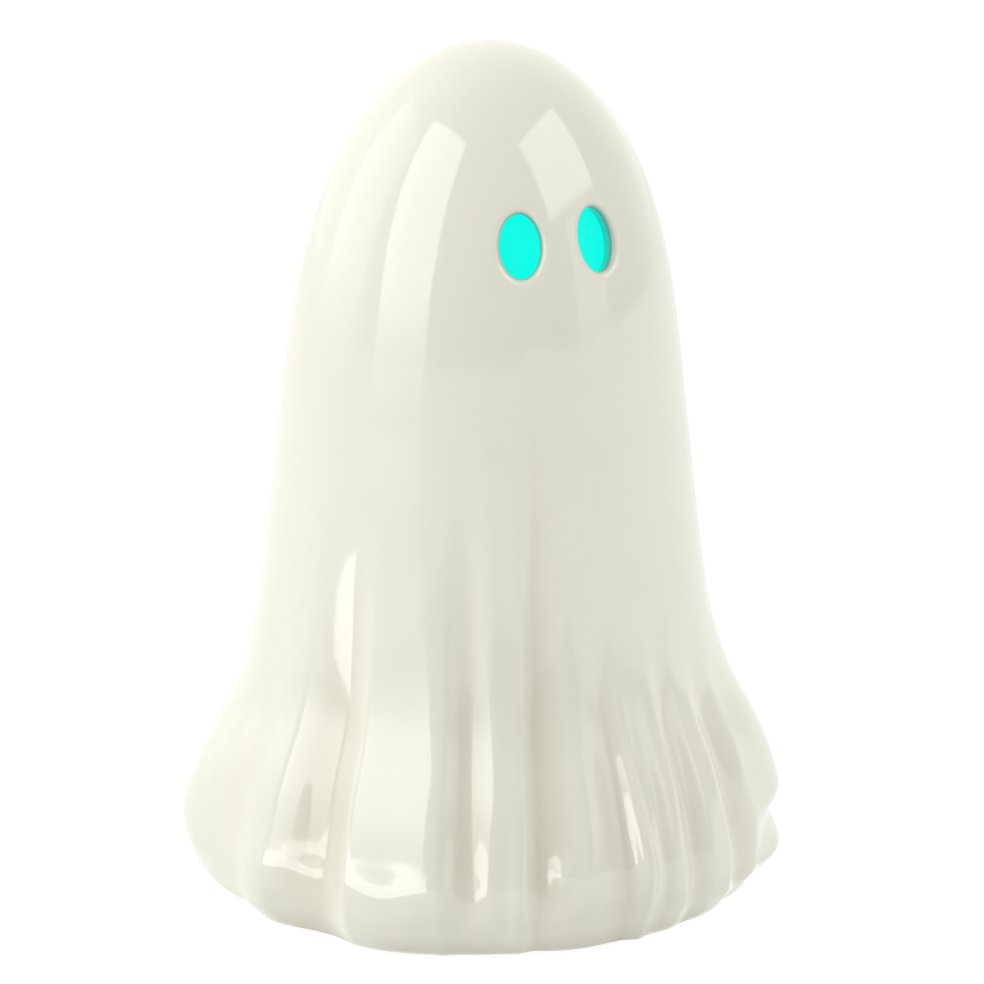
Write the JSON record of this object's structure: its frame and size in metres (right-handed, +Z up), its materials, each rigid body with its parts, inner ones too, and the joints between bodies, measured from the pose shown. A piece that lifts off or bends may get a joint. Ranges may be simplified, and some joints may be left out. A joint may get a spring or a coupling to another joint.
{
  "type": "light-up ghost",
  "caption": "Hollow glazed ceramic ghost, a draped sheet with two oval eye holes, lit from inside by a plug-in battery light unit in its base.",
  "frame": {"origin": "middle of the footprint, on the table under the foot pads", "axes": "+Z up, -Y the way the face looks, +X to the right of someone who looks at the face"},
  "size_m": [0.1388, 0.1378, 0.2],
  "materials": {
    "glaze": "glossy ivory glaze",
    "eye_glow": "frosted, lit from behind",
    "foam": "matte foam",
    "white_plastic": "satin",
    "silicone": "translucent silicone",
    "screw_steel": "zinc plated",
    "frosted_plastic": "frosted",
    "board": "green solder mask",
    "lamp_resin": "clear resin",
    "black_plastic": "moulded black",
    "resistor_ceramic": "lacquered",
    "cell_jacket": "printed film jacket, plain",
    "contact_steel": "nickel plated spring steel",
    "switch_steel": "tin plated",
    "red_wire": "insulation",
    "black_wire": "insulation"
  },
  "bodies": {
    "ghost": {"ceramic_shell": "glaze", "eye_diffuser_left": "eye_glow", "eye_diffuser_right": "eye_glow", "foot_pad_1": "foam", "foot_pad_2": "foam", "foot_pad_3": "foam", "foot_pad_4": "foam"},
    "light_unit": {"light_housing": "white_plastic", "housing_gasket": "silicone", "top_cover": "white_plastic", "cover_screw_1": "screw_steel", "cover_screw_2": "screw_steel", "cover_screw_3": "screw_steel", "diffuser_dome": "frosted_plastic", "circuit_board": "board", "board_screw_1": "screw_steel", "board_screw_2": "screw_steel", "led_red": "lamp_resin", "led_green": "lamp_resin", "led_blue": "lamp_resin", "control_chip": "black_plastic", "resistor_1": "resistor_ceramic", "resistor_2": "resistor_ceramic", "resistor_3": "resistor_ceramic", "battery_1": "cell_jacket", "battery_2": "cell_jacket", "battery_3": "cell_jacket", "contact_positive": "contact_steel", "contact_bridge_rear": "contact_steel", "contact_bridge_front": "contact_steel", "contact_negative": "contact_steel", "switch_body": "switch_steel", "lead_battery_positive": "red_wire", "lead_switch": "red_wire", "lead_battery_negative": "black_wire"},
    "battery_door": {"battery_door": "white_plastic", "door_screw": "screw_steel"},
    "switch_knob": {"switch_knob": "black_plastic"}
  },
  "joints": [
    {"name": "light_unit_plug", "type": "slide", "parent": "ghost", "child": "light_unit", "axis": [0, 0, -1], "range_m": [0, 0.05]},
    {"name": "battery_door_tip", "type": "hinge", "parent": "light_unit", "child": "battery_door", "pos_m": [0.01859, 0, 0.0039], "axis": [0, -1, 0], "range_deg": [0, 35]},
    {"name": "switch_knob_slide", "type": "slide", "parent": "light_unit", "child": "switch_knob", "axis": [0, -1, 0], "range_m": [0, 0.0026]}
  ]
}
